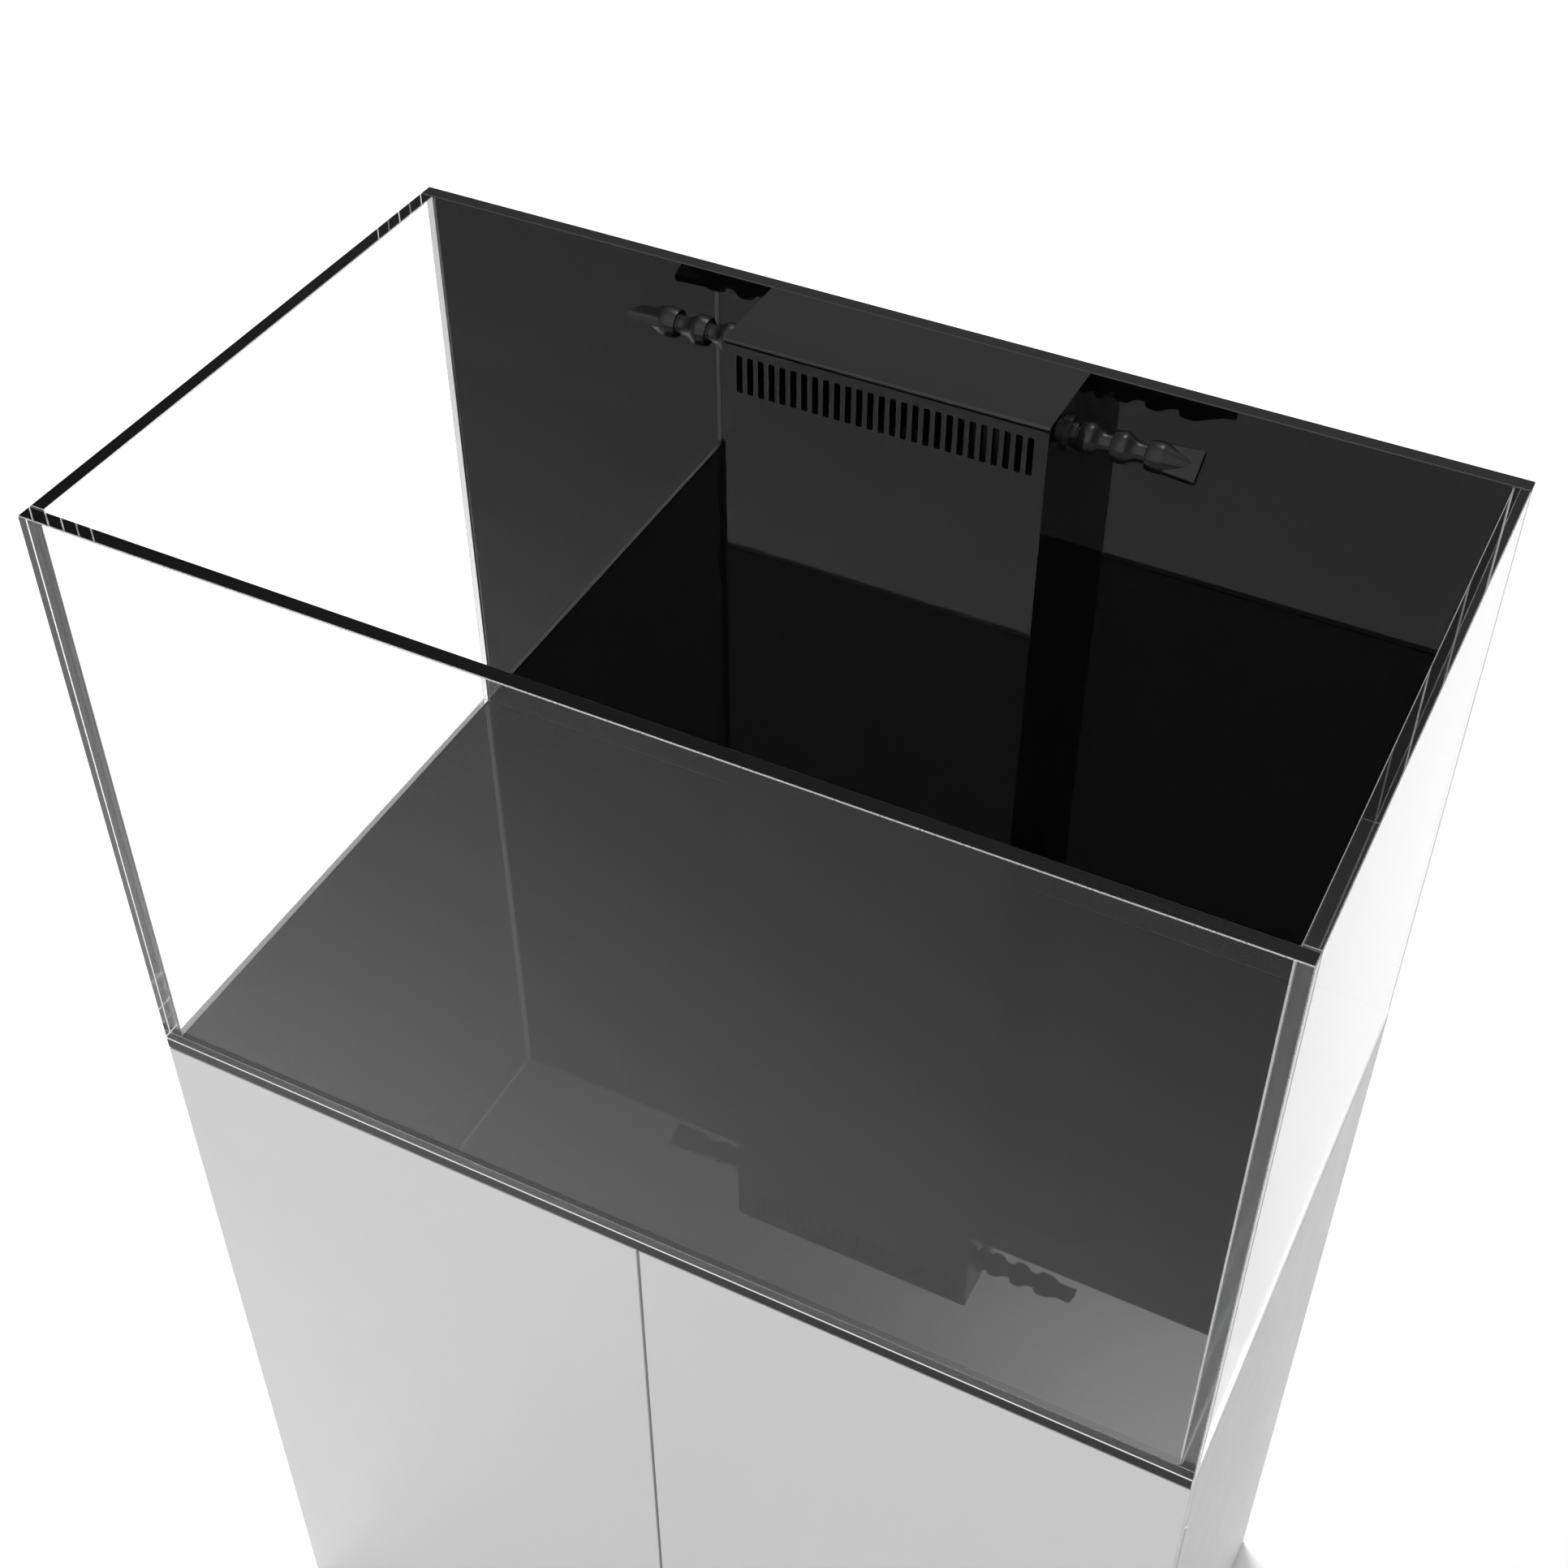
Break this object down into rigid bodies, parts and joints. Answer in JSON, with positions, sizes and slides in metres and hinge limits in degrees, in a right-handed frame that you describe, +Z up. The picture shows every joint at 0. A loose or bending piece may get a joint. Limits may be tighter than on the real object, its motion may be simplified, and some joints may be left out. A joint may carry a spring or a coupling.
{
  "type": "aquarium on stand",
  "caption": "Rimless glass aquarium with a slotted black rear overflow box and jointed return nozzles, on a handleless two-door cabinet that holds its sump.",
  "frame": {"origin": "on the floor, under the centre of the footprint", "axes": "+Z up, -Y towards the doors, +X to the right seen from the front"},
  "size_m": [0.9016, 0.5, 1.45],
  "materials": {
    "clear_glass": "polished, ground arrises",
    "black_glass": "polished, black",
    "black_acrylic": "polished black",
    "nozzle_plastic": "moulded black",
    "silicone": "clear silicone",
    "pipe_plastic": "extruded dark grey pipe",
    "fitting_plastic": "moulded black",
    "handle_plastic": "moulded red",
    "seal_rubber": "black rubber",
    "lacquered_board": "satin light grey lacquer",
    "hinge_steel": "brushed",
    "screw_steel": "zinc plated",
    "latch_plastic": "moulded grey",
    "levelling_foam": "closed-cell foam",
    "glide_plastic": "moulded black",
    "sump_glass": "polished",
    "shelf_acrylic": "frosted acrylic",
    "sock_felt": "white needle felt",
    "pump_plastic": "moulded dark grey",
    "impeller_plastic": "moulded"
  },
  "bodies": {
    "tank_and_cabinet": {"front_pane": "clear_glass", "left_pane": "clear_glass", "right_pane": "clear_glass", "back_pane": "black_glass", "bottom_pane": "black_glass", "tank_silicone": "silicone", "overflow_front": "black_acrylic", "overflow_left_side": "black_acrylic", "overflow_right_side": "black_acrylic", "nozzle_collars": "nozzle_plastic", "nozzle_nuts": "nozzle_plastic", "bulkhead_fittings": "fitting_plastic", "bulkhead_gaskets": "seal_rubber", "bulkhead_nuts": "fitting_plastic", "return_pipes": "pipe_plastic", "return_tee": "fitting_plastic", "valve_inlet_pipes": "pipe_plastic", "gate_valve_body": "fitting_plastic", "ball_valve_body": "fitting_plastic", "drain_pipes": "pipe_plastic", "return_pipe_lower": "pipe_plastic", "pump_volute": "pump_plastic", "pump_housing": "pump_plastic", "sump_base": "sump_glass", "sump_panes": "sump_glass", "sock_holder": "shelf_acrylic", "left_side_panel": "lacquered_board", "right_side_panel": "lacquered_board", "top_panel": "lacquered_board", "bottom_panel": "lacquered_board", "back_rails": "lacquered_board", "levelling_mat": "levelling_foam", "glides": "glide_plastic", "cabinet_hinge_leaves": "hinge_steel", "hinge_pins": "hinge_steel", "cabinet_hinge_screws": "screw_steel", "latch_bodies": "latch_plastic"},
    "left_door_body": {"left_door": "lacquered_board", "left_door_hinge_leaves": "hinge_steel", "left_door_screws": "screw_steel"},
    "right_door_body": {"right_door": "lacquered_board", "right_door_hinge_leaves": "hinge_steel", "right_door_screws": "screw_steel"},
    "cover_body": {"overflow_cover": "black_acrylic"},
    "drain_standpipe_body": {"drain_standpipe": "pipe_plastic"},
    "emergency_standpipe_body": {"emergency_standpipe": "pipe_plastic"},
    "gate_wheel_body": {"gate_valve_wheel": "handle_plastic"},
    "gate_body": {"valve_gate": "fitting_plastic"},
    "ball_lever_body": {"valve_ball": "fitting_plastic", "ball_valve_lever": "handle_plastic"},
    "impeller_body": {"impeller": "impeller_plastic"},
    "sock_body": {"filter_sock": "sock_felt"},
    "left_plunger_body": {"left_latch_plunger": "latch_plastic"},
    "right_plunger_body": {"right_latch_plunger": "latch_plastic"},
    "left_segment_1_body": {"left_nozzle_segment_1": "nozzle_plastic"},
    "left_segment_2_body": {"left_nozzle_segment_2": "nozzle_plastic"},
    "left_flare_body": {"left_flare_nozzle": "nozzle_plastic"},
    "right_segment_1_body": {"right_nozzle_segment_1": "nozzle_plastic"},
    "right_segment_2_body": {"right_nozzle_segment_2": "nozzle_plastic"},
    "right_flare_body": {"right_flare_nozzle": "nozzle_plastic"}
  },
  "joints": [
    {"name": "left_door_hinge", "type": "hinge", "parent": "tank_and_cabinet", "child": "left_door_body", "pos_m": [-0.449, -0.2325, 0.445], "axis": [0, 0, -1], "range_deg": [0, 105]},
    {"name": "right_door_hinge", "type": "hinge", "parent": "tank_and_cabinet", "child": "right_door_body", "pos_m": [0.449, -0.2325, 0.445], "axis": [0, 0, 1], "range_deg": [0, 105]},
    {"name": "cover_lift", "type": "slide", "parent": "tank_and_cabinet", "child": "cover_body", "axis": [0, 0, 1], "range_m": [0, 0.08]},
    {"name": "left_nozzle_yaw", "type": "hinge", "parent": "tank_and_cabinet", "child": "left_segment_1_body", "pos_m": [-0.144, 0.2005, 1.421], "axis": [0, 0, 1], "range_deg": [-12, 12]},
    {"name": "left_nozzle_pitch", "type": "hinge", "parent": "left_segment_1_body", "child": "left_segment_2_body", "pos_m": [-0.169, 0.2005, 1.421], "axis": [0, 1, 0], "range_deg": [-12, 12]},
    {"name": "left_flare_twist", "type": "hinge", "parent": "left_segment_2_body", "child": "left_flare_body", "pos_m": [-0.1955, 0.2005, 1.421], "axis": [1, 0, 0], "continuous": true},
    {"name": "right_nozzle_yaw", "type": "hinge", "parent": "tank_and_cabinet", "child": "right_segment_1_body", "pos_m": [0.144, 0.2005, 1.421], "axis": [0, 0, 1], "range_deg": [-12, 12]},
    {"name": "right_nozzle_pitch", "type": "hinge", "parent": "right_segment_1_body", "child": "right_segment_2_body", "pos_m": [0.169, 0.2005, 1.421], "axis": [0, -1, 0], "range_deg": [-12, 12]},
    {"name": "right_flare_twist", "type": "hinge", "parent": "right_segment_2_body", "child": "right_flare_body", "pos_m": [0.1955, 0.2005, 1.421], "axis": [1, 0, 0], "continuous": true},
    {"name": "drain_standpipe_lift", "type": "slide", "parent": "tank_and_cabinet", "child": "drain_standpipe_body", "axis": [0, 0, 1], "range_m": [0, 0.028]},
    {"name": "emergency_standpipe_lift", "type": "slide", "parent": "tank_and_cabinet", "child": "emergency_standpipe_body", "axis": [0, 0, 1], "range_m": [0, 0.028]},
    {"name": "gate_wheel_turn", "type": "hinge", "parent": "tank_and_cabinet", "child": "gate_wheel_body", "pos_m": [-0.075, 0.103, 0.74], "axis": [0, -1, 0], "range_deg": [0, 1440]},
    {"name": "gate_travel", "type": "slide", "parent": "tank_and_cabinet", "child": "gate_body", "axis": [0, 1, 0], "range_m": [0, 0.0321]},
    {"name": "ball_lever_turn", "type": "hinge", "parent": "tank_and_cabinet", "child": "ball_lever_body", "pos_m": [0.075, 0.1615, 0.74], "axis": [0, 1, 0], "range_deg": [0, 90]},
    {"name": "impeller_spin", "type": "hinge", "parent": "tank_and_cabinet", "child": "impeller_body", "pos_m": [0.29, 0.02, 0.082], "axis": [1, 0, 0], "continuous": true},
    {"name": "sock_lift", "type": "slide", "parent": "tank_and_cabinet", "child": "sock_body", "axis": [0, 0, 1], "range_m": [0, 0.15]},
    {"name": "left_latch_press", "type": "slide", "parent": "tank_and_cabinet", "child": "left_plunger_body", "axis": [0, 1, 0], "range_m": [0, 0.003], "stiffness_N_per_m": 300},
    {"name": "right_latch_press", "type": "slide", "parent": "tank_and_cabinet", "child": "right_plunger_body", "axis": [0, 1, 0], "range_m": [0, 0.003], "stiffness_N_per_m": 300}
  ],
  "couplings": [
    {"joint": "gate_travel", "follows": "gate_wheel_turn", "m_per_rad": 0.0012732}
  ]
}
